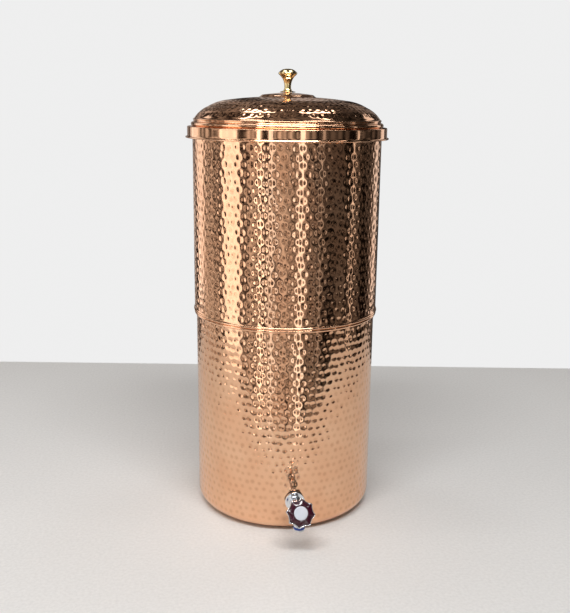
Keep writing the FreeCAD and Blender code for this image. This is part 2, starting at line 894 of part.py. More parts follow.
bonnet_hex = nut(
    "bonnet_hex",
    cell("bonnet_flats"),
    cell("bonnet_hex_height"),
    cell("bonnet_neck_radius") - 0.5,
    chamber_depth,
)
tap_bonnet = on_valve(joined("tap_bonnet", [bonnet_core, bonnet_hex]))
gland_packing = on_valve(
    ring(
        "gland_packing",
        spindle_radius + spindle_gap / 2,
        cell("packing_radius"),
        packing_low,
        cell("packing_height"),
    )
)
gland_nut = on_valve(
    ring(
        "gland_nut",
        spindle_radius + spindle_gap,
        cell("gland_radius"),
        neck_top,
        cell("gland_height"),
    )
)

# Valve: the washer and jumper rise without turning, pushed and drawn by the spindle.
valve_low = cell("seat_clearance")
jumper_low = valve_low + cell("valve_washer_height")
jumper_top = jumper_low + cell("jumper_height")
jumper_stem = cell("jumper_stem_radius")
valve_washer = on_valve(
    turned(
        "valve_washer",
        [
            (0, valve_low),
            (cell("valve_washer_radius"), valve_low),
            (cell("valve_washer_radius"), jumper_low),
            (0, jumper_low),
        ],
    )
)
valve_jumper = on_valve(
    turned(
        "valve_jumper",
        [
            (0, jumper_low),
            (cell("jumper_radius"), jumper_low),
            (cell("jumper_radius"), jumper_top),
            (jumper_stem, jumper_top),
            (jumper_stem, jumper_top + cell("jumper_stem_length")),
            (0, jumper_top + cell("jumper_stem_length")),
        ],
    )
)
handle_start = cell("handle_start")
handle_height = cell("handle_height")
handle_top = handle_start + handle_height
recess = cell("handle_recess")
seat_face = handle_top - recess
spindle_top = seat_face - 1.2
spindle_bottom = cell("spindle_bottom")
thread_end = spindle_bottom + cell("spindle_thread_length")
socket_top = jumper_top + cell("jumper_stem_length") + 0.3
screw_radius = cell("screw_radius")
screw_foot = seat_face - cell("screw_length")
tap_spindle = on_valve(
    turned(
        "tap_spindle",
        [
            (jumper_stem + spindle_gap, spindle_bottom),
            (thread_radius, spindle_bottom),
            (thread_radius, thread_end),
            (spindle_radius, thread_end),
            (spindle_radius, spindle_top),
            (screw_radius, spindle_top),
            (screw_radius, screw_foot),
            (0, screw_foot),
            (0, socket_top),
            (jumper_stem + spindle_gap, socket_top),
        ],
    )
)

# Hand knob: a scalloped chromed shell, a wine-red face and a white centre cap.
lobes = SIZES["handle_lobes"]
handle_radius = cell("handle_radius")
scallop = cell("scallop_radius")
scallop_at = handle_radius - cell("scallop_depth") + scallop


def scalloped(name, shrink, low, height, turn):
    """A round blank with one hollow cut in its edge and repeated for every lobe."""
    body = new_body(name)
    disc = new_sketch(body, name + "_disc", "XY_Plane", low)
    draw_circle(disc, 0, 0, handle_radius - shrink)
    pad = body.newObject("PartDesign::Pad", name + "_pad")
    pad.Profile = disc
    bind(pad, Length=height)
    body.Tip = pad
    doc.recompute()
    hollow = new_sketch(body, name + "_hollow", "XY_Plane", low)
    draw_circle(hollow, scallop_at * cosine(turn), scallop_at * sine(turn), scallop + shrink)
    pocket = cut_prism(body, hollow, name + "_scallop", height, True)
    pattern = body.newObject("PartDesign::PolarPattern", name + "_scallops")
    pattern.Originals = [pocket]
    pattern.Axis = (disc, ["N_Axis"])
    pattern.Angle = 360
    pattern.Occurrences = lobes
    body.Tip = pattern
    doc.recompute()
    return body


def grooved(body, name, corners):
    """Turns an outline out of a body about its upright axis."""
    before = body.Shape.Volume
    sketch = new_sketch(body, name + "_profile")
    draw_outline(sketch, corners)
    groove = body.newObject("PartDesign::Groove", name)
    groove.Profile = sketch
    groove.ReferenceAxis = (sketch, ["V_Axis"])
    groove.Angle = 360
    body.Tip = groove
    doc.recompute()
    if body.Shape.Volume >= before - 1e-6:
        raise RuntimeError(f"{name} cuts nothing")


lobe_turn = as_size(180.0 / lobes) + cell("handle_turn")
handle_shell = scalloped("tap_handle_shell", as_size(0.0), handle_start, handle_height, lobe_turn)
rim = cell("handle_rim")
recess_blank = new_sketch(handle_shell, "handle_recess_disc", "XY_Plane", seat_face)
draw_circle(recess_blank, 0, 0, cell("cap_radius"))
cut_prism(handle_shell, recess_blank, "handle_recess_cut", recess + 1, True)
grooved(
    handle_shell,
    "handle_back_hollow",
    [
        (cell("handle_hub_radius"), handle_start - 1),
        (cell("handle_hollow_radius"), handle_start - 1),
        (cell("handle_hollow_radius"), handle_start + cell("handle_hollow_depth")),
        (cell("handle_hub_radius"), handle_start + cell("handle_hollow_depth")),
    ],
)
grooved(
    handle_shell,
    "handle_socket",
    [
        (0, handle_start - 1),
        (spindle_radius, handle_start - 1),
        (spindle_radius, spindle_top),
        (screw_radius, spindle_top),
        (screw_radius, seat_face + 1),
        (0, seat_face + 1),
    ],
)

# The face fills the shell's recess, so the recess is cut with the face's own outline.
recess_tool = scalloped("handle_recess_tool", rim, seat_face, recess + 1, lobe_turn)
tap_handle_shell = cut_from("tap_handle", handle_shell, recess_tool)
on_valve(tap_handle_shell)
handle_shell.Label = "tap_handle_blank"
insert_edge = seat_face + cell("insert_edge")
insert_top = seat_face + cell("insert_centre")
cap_seat = insert_top - cell("cap_seat_depth")
cap_radius_face = cell("cap_radius")
tap_handle_face = scalloped(
    "tap_handle_face", rim + cell("insert_gap"), seat_face, cell("insert_centre"), lobe_turn
)
grooved(
    tap_handle_face,
    "face_slope",
    [
        (cap_radius_face + 1.2, insert_top),
        (handle_radius + 1, insert_edge - 0.3),
        (handle_radius + 1, insert_top + 1),
        (cap_radius_face + 1.2, insert_top + 1),
    ],
)
grooved(
    tap_handle_face,
    "face_cap_seat",
    [
        (0, seat_face - 1),
        (cell("screw_head_radius") + 0.3, seat_face - 1),
        (cell("screw_head_radius") + 0.3, cap_seat),
        (cap_radius_face, cap_seat),
        (cap_radius_face, insert_top + 1),
        (0, insert_top + 1),
    ],
)
on_valve(tap_handle_face)
cap_top = cap_seat + cell("cap_height")
cap_crown = cell("cap_crown")
cap_face = cap_radius_face - 0.8
tap_handle_cap = on_valve(
    turned(
        "tap_handle_cap",
        [
            (0, cap_seat),
            (cap_radius_face, cap_seat),
            (cap_radius_face, cap_top - cap_crown),
            (cap_face, cap_top, dome_radius(cap_face, cap_crown), "left"),
            (0, cap_top + cap_crown),
        ],
    )
)
handle_screw = on_valve(
    turned(
        "tap_handle_screw",
        [
            (0, screw_foot),
            (screw_radius, screw_foot),
            (screw_radius, seat_face),
            (cell("screw_head_radius"), seat_face),
            (cell("screw_head_radius"), seat_face + cell("screw_head_height")),
            (0, seat_face + cell("screw_head_height")),
        ],
    )
)
doc.recompute()

PIECES = [
    lower_vessel,
    upper_vessel,
    lid_shell,
    knob_collar,
    lid_knob,
    knob_washer,
    knob_nut,
    *candle_pieces,
    tap_body,
    outlet_nozzle,
    outlet_ring,
    tap_outer_washer,
    tap_inner_washer,
    tap_lock_nut,
    tap_bonnet,
    gland_packing,
    gland_nut,
    valve_washer,
    valve_jumper,
    tap_spindle,
    tap_handle_shell,
    tap_handle_face,
    tap_handle_cap,
    handle_screw,
]

failed = [thing.Label for thing in doc.Objects if {"Invalid", "Error"} & set(thing.State)]
if failed:
    raise RuntimeError(f"these did not rebuild: {failed}")
for piece in PIECES:
    if piece.Shape.isNull() or not piece.Shape.isValid():
        raise RuntimeError(f"{piece.Label} has no sound shape")

os.makedirs("parts", exist_ok=True)
for piece in PIECES:
    piece.Shape.exportStep(f"parts/{piece.Label}.step")
    solids = len(piece.Shape.Solids)
    print(f"{piece.Label}: {solids} solid(s), {piece.Shape.Volume / 1000:.2f} cm3")
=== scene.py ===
"""Looks for the two-tier hammered copper water filter with its screw-down tap."""
import math
import random

import bpy
from mathutils import Matrix, Vector
from mathutils.kdtree import KDTree


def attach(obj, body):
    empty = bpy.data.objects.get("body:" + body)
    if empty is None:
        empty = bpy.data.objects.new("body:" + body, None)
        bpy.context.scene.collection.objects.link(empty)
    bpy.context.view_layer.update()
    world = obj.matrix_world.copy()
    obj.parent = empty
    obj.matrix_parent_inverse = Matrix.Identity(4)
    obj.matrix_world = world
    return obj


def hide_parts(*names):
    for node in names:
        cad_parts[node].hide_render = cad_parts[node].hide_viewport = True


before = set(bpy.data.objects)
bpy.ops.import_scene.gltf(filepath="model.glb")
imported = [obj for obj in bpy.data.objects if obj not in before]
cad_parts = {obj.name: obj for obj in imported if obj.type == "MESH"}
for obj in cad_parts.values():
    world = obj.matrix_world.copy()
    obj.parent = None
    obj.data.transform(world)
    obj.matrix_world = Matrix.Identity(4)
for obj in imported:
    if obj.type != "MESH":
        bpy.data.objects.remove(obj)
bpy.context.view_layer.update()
bpy.ops.object.select_all(action="DESELECT")

# The lower vessel: copper sheet spun into a tall can with a rounded foot, planished all over
# with a ball hammer, then polished.  Its mouth is rolled outwards into a smooth bead.
MM = 0.001
SHEET_WALL = 0.8
LOWER_RADIUS = 117.5
LOWER_CORNER = 18.0
LOWER_WALL_TOP = 262.8
LOWER_CURL = 1.9
LOWER_CURL_LEVEL = 265.3
LOWER_RIM_TOP = 267.2
TURNING_STEPS = 480
FINE_STEP = 1.7
ROW_SPACING = 9.6
BLOW_SPACING = 9.0
BLOW_SIDE_MISS = 0.19
BLOW_LEVEL_MISS = 1.3
DENT_RADII = (3.3, 4.4)
DENT_DEPTHS = (0.34, 0.58)
DENT_ROUNDING = 1.4
SAME_SIDE = 0.5


def arc_points(middle, radius, start, end, steps):
    """Points on an arc in the (radius, height) plane, angles in degrees."""
    points = []
    for number in range(steps + 1):
        angle = math.radians(start + (end - start) * number / steps)
        points.append((middle[0] + radius * math.cos(angle), middle[1] + radius * math.sin(angle)))
    return points


def straight_points(start, end, step):
    """Evenly spaced points after start, up to and with end."""
    length = math.dist(start, end)
    count = max(1, round(length / step))
    across = (end[0] - start[0]) / count
    up = (end[1] - start[1]) / count
    return [(start[0] + across * n, start[1] + up * n) for n in range(1, count + 1)]


def turn_piece(name, outline, steps):
    """Spins an outline of (radius, height) in millimetres about the upright axis."""
    bpy.ops.object.select_all(action="DESELECT")
    bpy.ops.mesh.primitive_plane_add(size=MM, location=(0, 0, 0))
    piece = bpy.context.object
    piece.name = name
    bpy.ops.object.mode_set(mode="EDIT")
    bpy.ops.mesh.merge(type="CENTER")
    first = outline[0]
    bpy.ops.transform.translate(value=(first[0] * MM, 0, first[1] * MM))
    for before, after in zip(outline, outline[1:]):
        move = ((after[0] - before[0]) * MM, 0, (after[1] - before[1]) * MM)
        bpy.ops.mesh.extrude_vertices_move(TRANSFORM_OT_translate={"value": move})
    bpy.ops.mesh.select_all(action="SELECT")
    bpy.ops.mesh.spin(
        steps=steps, angle=2 * math.pi, center=(0, 0, 0), axis=(0, 0, 1), use_auto_merge=True
    )
    bpy.ops.mesh.select_all(action="SELECT")
    bpy.ops.mesh.remove_doubles(threshold=2e-6)
    bpy.ops.mesh.normals_make_consistent(inside=False)
    bpy.ops.object.mode_set(mode="OBJECT")
    bpy.ops.object.shade_smooth()
    return piece


def hammer(piece, blows):
    """Presses a shallow round dent into the outer skin at every blow (place, radius, depth)."""
    mesh = piece.data
    tree = KDTree(len(mesh.vertices))
    for vertex in mesh.vertices:
        tree.insert(vertex.co, vertex.index)
    tree.balance()
    normals = [vertex.normal.copy() for vertex in mesh.vertices]
    sinks = {}
    for place, radius, depth in blows:
        nearest = tree.find(place)[1]
        facing = normals[nearest]
        for _, index, distance in tree.find_range(place, radius):
            if normals[index].dot(facing) < SAME_SIDE:
                continue
            share = 1 - (distance / radius) ** 2
            sinks[index] = max(sinks.get(index, 0.0), depth * share ** DENT_ROUNDING)
    marks = mesh.attributes.new("dent", "FLOAT", "POINT")
    for index, sink in sinks.items():
        mesh.vertices[index].co -= normals[index] * sink
        marks.data[index].value = sink / MM


def wall_blows(wall_radius, low, high, seed):
    """Rows of staggered blows round an upright wall, each a little off its mark."""
    chance = random.Random(seed)
    rows = round((high - low) / ROW_SPACING)
    around = round(2 * math.pi * wall_radius / BLOW_SPACING)
    blows = []
    for row in range(rows):
        level = low + (row + 0.5) * (high - low) / rows
        for number in range(around):
            shift = 0.5 * (row % 2) + chance.uniform(-BLOW_SIDE_MISS, BLOW_SIDE_MISS)
            angle = 2 * math.pi * (number + shift) / around
            height = level + chance.uniform(-BLOW_LEVEL_MISS, BLOW_LEVEL_MISS)
            place = Vector((wall_radius * math.cos(angle), wall_radius * math.sin(angle), height))
            dent_radius = chance.uniform(*DENT_RADII) * MM
            dent_depth = chance.uniform(*DENT_DEPTHS) * MM
            blows.append((place * MM, dent_radius, dent_depth))
    return blows


lower_inner = LOWER_RADIUS - SHEET_WALL
foot_radius = LOWER_RADIUS - LOWER_CORNER
lower_outline = [(0, 0), (30, 0), (61.5, 0), (63.0, 1.0), (64.4, 1.6), (67.6, 1.6), (69.0, 1.0)]
lower_outline += [(70.5, 0), (85, 0)]
lower_outline += arc_points((foot_radius, LOWER_CORNER), LOWER_CORNER, -90, 0, 18)
lower_outline += straight_points(
    (LOWER_RADIUS, LOWER_CORNER), (LOWER_RADIUS, LOWER_WALL_TOP), FINE_STEP
)
lower_curl_middle = (lower_inner + LOWER_CURL, LOWER_CURL_LEVEL)
lower_outline += arc_points(lower_curl_middle, LOWER_CURL, -125, 180, 14)
lower_outline += [(lower_inner, 262.0), (lower_inner, 200), (lower_inner, 100)]
inner_corner = LOWER_CORNER - SHEET_WALL
lower_outline += arc_points((foot_radius, LOWER_CORNER), inner_corner, 0, -90, 8)
lower_outline += [(70.5, SHEET_WALL), (67.6, 2.4), (64.4, 2.4), (61.5, SHEET_WALL)]
lower_outline += [(30, SHEET_WALL), (0, SHEET_WALL)]
lower_vessel = turn_piece("hammered_lower_vessel", lower_outline, TURNING_STEPS)
hammer(lower_vessel, wall_blows(LOWER_RADIUS, low=13.0, high=262.0, seed=11))

CLOUD_SCALE = 24.0
HAZE_SCALE = 60.0
SCRATCH_SCALE = 900.0
RELIEF_HEIGHT = 0.0002
# Colour of the painted shade inside the hammer dents.
DENT_PAINTED_SHADE_COLOUR = (0.61, 0.31, 0.17)


def new_material(name):
    """A node material with a plain surface shader ready to be wired."""
    material = bpy.data.materials.new(name)
    material.use_nodes = True
    return material, material.node_tree.nodes, material.node_tree.links


def noise(nodes, links, coordinates, scale, detail, stretch=(1, 1, 1)):
    """Noise read from the piece's own object coordinates."""
    mapping = nodes.new("ShaderNodeMapping")
    mapping.inputs["Scale"].default_value = stretch
    links.new(coordinates.outputs["Object"], mapping.inputs["Vector"])
    texture = nodes.new("ShaderNodeTexNoise")
    texture.inputs["Scale"].default_value = scale
    texture.inputs["Detail"].default_value = detail
    links.new(mapping.outputs["Vector"], texture.inputs["Vector"])
    return texture


def span(nodes, links, source, low, high, from_low=0.3, from_high=0.7):
    """Stretches a texture's grey value to a wanted range."""
    ranged = nodes.new("ShaderNodeMapRange")
    ranged.inputs["From Min"].default_value = from_low
    ranged.inputs["From Max"].default_value = from_high
    ranged.inputs["To Min"].default_value = low
    ranged.inputs["To Max"].default_value = high
    links.new(source, ranged.inputs["Value"])
    return ranged.outputs["Result"]


def blend_colours(nodes, links, factor, first, second):
    """Mixes two colours, or a colour over another output, by a grey value."""
    mix = nodes.new("ShaderNodeMix")
    mix.data_type = "RGBA"
    links.new(factor, mix.inputs["Factor"])
    for socket, colour in (("A", first), ("B", second)):
        slots = [item for item in mix.inputs if item.name == socket and item.type == "RGBA"]
        if isinstance(colour, tuple):
            slots[0].default_value = (*colour, 1)
        else:
            links.new(colour, slots[0])
    return [item for item in mix.outputs if item.type == "RGBA"][0]


def fine_relief(nodes, links, shader, texture, strength):
    """Raises the surface a hair by a texture's grey value."""
    bump = nodes.new("ShaderNodeBump")
    bump.inputs["Strength"].default_value = strength
    bump.inputs["Distance"].default_value = RELIEF_HEIGHT
    links.new(texture.outputs["Fac"], bump.inputs["Height"])
    links.new(bump.outputs["Normal"], shader.inputs["Normal"])


def polished_metal(name, colour, deep, rough_low, rough_high, wipe):
    """Metal with soft tone changes, hand-polish haze and fine wipe marks."""
    material, nodes, links = new_material(name)
    shader = nodes["Principled BSDF"]
    shader.inputs["Metallic"].default_value = 1.0
    coordinates = nodes.new("ShaderNodeTexCoord")
    cloud = noise(nodes, links, coordinates, CLOUD_SCALE, 4.0)
    tone = span(nodes, links, cloud.outputs["Fac"], 0.0, 1.0)
    links.new(blend_colours(nodes, links, tone, colour, deep), shader.inputs["Base Color"])
    haze = noise(nodes, links, coordinates, HAZE_SCALE, 6.0, wipe)
    links.new(
        span(nodes, links, haze.outputs["Fac"], rough_low, rough_high), shader.inputs["Roughness"]
    )
    scratches = noise(nodes, links, coordinates, SCRATCH_SCALE, 3.0, wipe)
    fine_relief(nodes, links, shader, scratches, 0.05)
    return material


copper = polished_metal(
    "hand polished copper",
    colour=(0.91, 0.565, 0.36),
    deep=(0.87, 0.495, 0.30),
    rough_low=0.06,
    rough_high=0.13,
    wipe=(0.3, 0.3, 1.0),
)
copper_nodes = copper.node_tree.nodes
copper_links = copper.node_tree.links
copper_shader = copper_nodes["Principled BSDF"]
# Painted shade in the dents: the copper is blended darker inside each hammer dent, more so the
# deeper the dent.
dent_mark = copper_nodes.new("ShaderNodeAttribute")
dent_mark.attribute_name = "dent"
dent_painted_shade = span(
    copper_nodes, copper_links, dent_mark.outputs["Fac"], 0.0, 0.55, from_low=0.05, from_high=0.5
)
plain_copper = copper_shader.inputs["Base Color"].links[0].from_socket
copper_with_painted_dent_shade = blend_colours(
    copper_nodes, copper_links, dent_painted_shade, plain_copper, DENT_PAINTED_SHADE_COLOUR
)
copper_links.new(copper_with_painted_dent_shade, copper_shader.inputs["Base Color"])
lower_vessel.data.materials.append(copper)
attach(lower_vessel, "base_vessel")
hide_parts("lower_vessel")

# The upper vessel: the same spun and hammered sheet, a little wider, stepped in at the bottom
# so that its bead sits on the lower rim.  Its mouth is rolled too, out of sight under the lid.
UPPER_RADIUS = 120.0
SPIGOT_RADIUS = 116.2
UPPER_FLOOR = 243.2
UPPER_CORNER = 7.0
SEAM_BEAD = 1.55
SEAM_LEVEL = 268.7
UPPER_WALL_FOOT = 270.6
UPPER_WALL_TOP = 496.6
UPPER_CURL = 2.5
UPPER_RIM_TOP = 502.2
upper_inner = UPPER_RADIUS - SHEET_WALL
spigot_inner = SPIGOT_RADIUS - SHEET_WALL
spigot_foot = SPIGOT_RADIUS - UPPER_CORNER
upper_outline = [(0, UPPER_FLOOR), (40, UPPER_FLOOR), (80, UPPER_FLOOR)]
upper_outline += arc_points((spigot_foot, UPPER_FLOOR + UPPER_CORNER), UPPER_CORNER, -90, 0, 6)
upper_outline += [(SPIGOT_RADIUS, 258), (SPIGOT_RADIUS, 266.9), (LOWER_RADIUS, LOWER_RIM_TOP)]
upper_outline += arc_points((UPPER_RADIUS - 0.4, SEAM_LEVEL), SEAM_BEAD, -75, 75, 10)
upper_outline += straight_points(
    (UPPER_RADIUS, UPPER_WALL_FOOT), (UPPER_RADIUS, UPPER_WALL_TOP), FINE_STEP
)
rim_middle = (upper_inner + UPPER_CURL, UPPER_RIM_TOP - UPPER_CURL)
upper_outline += arc_points(rim_middle, UPPER_CURL, -115, 180, 12)
upper_outline += [(upper_inner, 495), (upper_inner, 400), (upper_inner, 274.2)]
upper_outline += [(spigot_inner, 270.2), (spigot_inner, 262.0)]
inside_foot = (spigot_foot, UPPER_FLOOR + UPPER_CORNER)
upper_outline += arc_points(inside_foot, UPPER_CORNER - SHEET_WALL, 0, -90, 5)
upper_outline += [(radius, UPPER_FLOOR + SHEET_WALL) for radius in (80, 40, 0)]
upper_vessel = turn_piece("hammered_upper_vessel", upper_outline, TURNING_STEPS)
hammer(upper_vessel, wall_blows(UPPER_RADIUS, low=272.5, high=496.0, seed=23))
upper_vessel.data.materials.append(copper)
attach(upper_vessel, "filter_vessel")
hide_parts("upper_vessel")

# The lid: spun copper with a flared lip, a plain band, a ledge and bead, then a dome hammered
# in rings up to a raised centre left smooth.
LID_WALL = 0.7
LEDGE = 503.2
BAND_RADIUS = 126.5
BAND_CORNER = 1.0
BAND_FOOT = 492.0
CROWN = (75, 535.8)
FLANK = (100, 527.6)
SHOULDER = (117.6, 513.0)
CROWN_BEND = 400
FLANK_BEND = 60
SHOULDER_BEND = 40
RING_SPACING = 8.4
RING_SIDE_MISS = 0.2
RING_MISS = 0.9
DOME_DENT_RADII = (3.1, 4.1)
DOME_DENT_DEPTHS = (0.32, 0.52)


def bend_points(start, end, radius, steps):
    """Points on the outward bulging arc between two places, for a given radius."""
    middle = Vector(((start[0] + end[0]) / 2, (start[1] + end[1]) / 2))
    chord = Vector((end[0] - start[0], end[1] - start[1]))
    reach = math.sqrt(radius * radius - chord.length_squared / 4)
    side = Vector((chord.y, -chord.x)).normalized() * reach
    centre = middle + side
    first = math.degrees(math.atan2(start[1] - centre.y, start[0] - centre.x))
    last = math.degrees(math.atan2(end[1] - centre.y, end[0] - centre.x))
    return arc_points(centre, radius, first, last, steps)


lid_skin = bend_points((0, 545.4), (31, 542.6), CROWN_BEND, 6)
lid_skin += [(32.6, 542.2), (34.0, 540.9), (35.5, 539.9)]
lid_skin += bend_points((36.5, 539.5), CROWN, CROWN_BEND, 26)
dome_side = bend_points(CROWN, FLANK, FLANK_BEND, 18)[1:]
dome_side += bend_points(FLANK, SHOULDER, SHOULDER_BEND, 16)[1:]
lid_skin += dome_side
lid_skin += arc_points((118.3, 511.7), 0.8, 75, -75, 5)
lid_skin += [(118.4, 510.2), (118.5, 509.3)]
lid_skin += arc_points((119.0, 506.0), 2.8, 80, -80, 12)
lid_skin += [(119.9, LEDGE), (122, LEDGE), (124.5, LEDGE)]
band_top = LEDGE - BAND_CORNER
lid_skin += arc_points((BAND_RADIUS - BAND_CORNER, band_top), BAND_CORNER, 90, 0, 5)
lid_skin += straight_points((BAND_RADIUS, band_top), (BAND_RADIUS, BAND_FOOT), 2.0)
lid_skin += [(126.8, 491.0), (127.5, 490.3)]
lid_skin += arc_points((127.9, 489.9), 0.95, 60, -90, 6)
band_inner = BAND_RADIUS - LID_WALL
lid_skin += [(127.0, 489.2), (126.2, 490.2), (band_inner, 491.6), (band_inner, 497)]
lid_skin += [(band_inner, LEDGE - 0.9), (122, LEDGE - LID_WALL)]
lid_skin += [(118.2, LEDGE - 0.4), (118.0, 509.2)]
lid_skin += [(116.9, 512.4)]
lid_skin += bend_points((99.4, 527.0), (116.9, 512.4), SHOULDER_BEND, 8)[::-1][1:]
lid_skin += bend_points((74.8, 535.1), (99.4, 527.0), FLANK_BEND, 6)[::-1][1:]
lid_skin += [(36, 538.9), (31, 541.9), (0, 544.7)]
lid_shell = turn_piece("hammered_lid", lid_skin, TURNING_STEPS)


def dome_blows(path, seed):
    """Rings of blows along the dome's profile, as many round each ring as fit."""
    chance = random.Random(seed)
    travelled = 0.0
    next_ring = RING_SPACING / 2
    blows = []
    for before, after in zip(path, path[1:]):
        step = math.dist(before, after)
        while next_ring <= travelled + step:
            share = (next_ring - travelled) / step
            ring_radius = before[0] + (after[0] - before[0]) * share
            level = before[1] + (after[1] - before[1]) * share
            around = round(2 * math.pi * ring_radius / BLOW_SPACING)
            for number in range(around):
                shift = chance.uniform(-RING_SIDE_MISS, RING_SIDE_MISS)
                angle = 2 * math.pi * (number + shift) / around
                off = ring_radius + chance.uniform(-RING_MISS, RING_MISS)
                place = Vector((off * math.cos(angle), off * math.sin(angle), level))
                dent_radius = chance.uniform(*DOME_DENT_RADII) * MM
                dent_depth = chance.uniform(*DOME_DENT_DEPTHS) * MM
                blows.append((place * MM, dent_radius, dent_depth))
            next_ring += RING_SPACING
        travelled += step
    return blows


dome_path = bend_points((46, 538.9), CROWN, CROWN_BEND, 20) + dome_side[:-1]
hammer(lid_shell, dome_blows(dome_path, seed=37))
lid_shell.data.materials.append(copper)
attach(lid_shell, "lid")
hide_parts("lid_shell")

# The lid's handle: a cast and turned brass knob on a stepped collar.  Its stem flares up to a
# wide head with eight soft flutes under a plain rounded cap.
FLUTES = 8
FLUTE_FOOT = 553
FLUTE_TOP = 568.5
FLUTE_DEPTH = 0.085
BRASS_STEPS = 96
knob_outline = [(0, 545.6), (2.4, 545.6), (2.4, 547.2), (5.0, 547.2), (5.4, 547.7), (5.2, 548.4)]
knob_outline += [(4.6, 549.2), (4.25, 550.4), (4.2, 552.0), (4.3, 554.0), (4.7, 556.5)]
knob_outline += [(5.4, 559.0), (6.6, 561.6), (8.2, 564.0), (10.0, 565.9), (11.3, 567.0)]
knob_outline += [(11.85, 567.9), (11.9, 568.7), (11.6, 569.5), (10.9, 570.2), (10.3, 570.5)]
knob_outline += [(9.6, 571.4), (8.0, 572.5), (5.6, 573.5), (2.8, 574.0), (0, 574.2)]
knob = turn_piece("brass_lid_knob", knob_outline, BRASS_STEPS)
for vertex in knob.data.vertices:
    height = vertex.co.z / MM
    if FLUTE_FOOT < height < FLUTE_TOP:
        share = math.sin(math.pi * (height - FLUTE_FOOT) / (FLUTE_TOP - FLUTE_FOOT))
        angle = math.atan2(vertex.co.y, vertex.co.x)
        draw_in = 1 - FLUTE_DEPTH * share * (0.5 + 0.5 * math.cos(FLUTES * angle))
        vertex.co.x *= draw_in
        vertex.co.y *= draw_in
brass = polished_metal(
    "polished brass",
    colour=(0.84, 0.69, 0.39),
    deep=(0.74, 0.58, 0.28),
    rough_low=0.08,
    rough_high=0.2,
    wipe=(1.0, 1.0, 0.4),
)
knob.data.materials.append(brass)
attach(knob, "lid")
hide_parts("lid_knob")

collar_outline = [(2.8, 545.4), (9.3, 545.4), (9.7, 545.8), (9.7, 546.1), (9.2, 546.5)]
collar_outline += [(7.6, 546.6), (7.2, 546.9), (6.2, 547.15), (2.8, 547.2), (2.8, 545.4)]
collar = turn_piece("brass_knob_collar", collar_outline, BRASS_STEPS)
collar.data.materials.append(brass)
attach(collar, "lid")
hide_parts("lid_knob_collar")


def finish_nodes(names, finish):
    """Gives plain nodes of the frame their finish."""
    for node in names:
        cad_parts[node].data.materials.clear()
        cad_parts[node].data.materials.append(finish)


HIDDEN_BRASS = ["lid_knob_washer", "lid_knob_nut", "tap_lock_nut", "valve_jumper", "tap_spindle"]
finish_nodes(HIDDEN_BRASS + ["tap_handle_screw"], brass)

# The tap's casting: a threaded shank, round flange, level barrel, raked valve housing and short
# spout, cast in one piece in brass, with soft corners where they meet, then chromed.
CAST_SKIN_STEP = 0.45
chrome = polished_metal(
    "bright chrome plate",
    colour=(0.82, 0.84, 0.87),
    deep=(0.72, 0.74, 0.78),
    rough_low=0.05,
    rough_high=0.13,
    wipe=(1.0, 1.0, 1.0),
)
bpy.ops.object.select_all(action="DESELECT")
rough_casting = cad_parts["tap_body"]
tap_casting = rough_casting.copy()
tap_casting.data = rough_casting.data.copy()
tap_casting.name = "chromed_tap_casting"
for key in list(tap_casting.keys()):
    del tap_casting[key]
tap_casting.parent = None
bpy.context.collection.objects.link(tap_casting)
bpy.context.view_layer.objects.active = tap_casting
tap_casting.select_set(True)
bpy.ops.object.mode_set(mode="EDIT")
bpy.ops.mesh.select_all(action="SELECT")
bpy.ops.mesh.remove_doubles(threshold=1e-6)
bpy.ops.object.mode_set(mode="OBJECT")
remesh = tap_casting.modifiers.new("even skin", "REMESH")
remesh.mode = "VOXEL"
remesh.voxel_size = CAST_SKIN_STEP * MM
bpy.ops.object.modifier_apply(modifier=remesh.name)
soften = tap_casting.modifiers.new("cast corners", "SMOOTH")
soften.factor = 0.5
soften.iterations = 6
bpy.ops.object.modifier_apply(modifier=soften.name)
bpy.ops.object.shade_smooth()
tap_casting.data.materials.clear()
tap_casting.data.materials.append(chrome)
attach(tap_casting, "base_vessel")
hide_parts("tap_body")
finish_nodes(["tap_bonnet", "gland_nut"], chrome)

# The outlet: a blue plastic ring trapped between the spout's end and the flange of a white
# plastic nozzle pushed up inside it.
FLOW_SCALE = 90.0
MOULD_SKIN_SCALE = 1800.0
OUTLET_STEPS = 64
TAP_HEIGHT = 44.0
SPOUT_REACH = 161.0


def plastic(name, colour, deep, rough_low, rough_high, coat=0.0):
    """Moulded plastic with faint flow marks and a fine skin texture."""
    material, nodes, links = new_material(name)
    shader = nodes["Principled BSDF"]
    shader.inputs["Coat Weight"].default_value = coat
    shader.inputs["Coat Roughness"].default_value = 0.05
    coordinates = nodes.new("ShaderNodeTexCoord")
    flow = noise(nodes, links, coordinates, FLOW_SCALE, 3.0)
    tone = span(nodes, links, flow.outputs["Fac"], 0.0, 1.0)
    links.new(blend_colours(nodes, links, tone, colour, deep), shader.inputs["Base Color"])
    skin = noise(nodes, links, coordinates, MOULD_SKIN_SCALE, 4.0)
    links.new(
        span(nodes, links, skin.outputs["Fac"], rough_low, rough_high), shader.inputs["Roughness"]
    )
    fine_relief(nodes, links, shader, skin, 0.08)
    return material


blue_plastic = plastic("deep blue plastic", (0.03, 0.09, 0.42), (0.02, 0.06, 0.30), 0.2, 0.35)
white_plastic = plastic("white plastic", (0.80, 0.81, 0.82), (0.74, 0.75, 0.77), 0.25, 0.4)
ring_outline = [(5.2, -12.5), (6.7, -12.5), (7.1, -12.9), (7.2, -13.4), (7.2, -14.6)]
ring_outline += [(7.1, -15.1), (6.7, -15.5), (5.2, -15.5), (5.2, -12.5)]
outlet_ring = turn_piece("blue_outlet_ring", ring_outline, OUTLET_STEPS)
nozzle_outline = [(3.6, -17.8), (3.8, -18.0), (5.8, -18.0), (6.4, -17.7), (6.6, -17.2)]
nozzle_outline += [(6.6, -15.9), (6.3, -15.55), (5.2, -15.5), (5.2, -7.0), (3.6, -7.0)]
nozzle_outline += [(3.6, -17.8)]
outlet_nozzle = turn_piece("white_outlet_nozzle", nozzle_outline, OUTLET_STEPS)
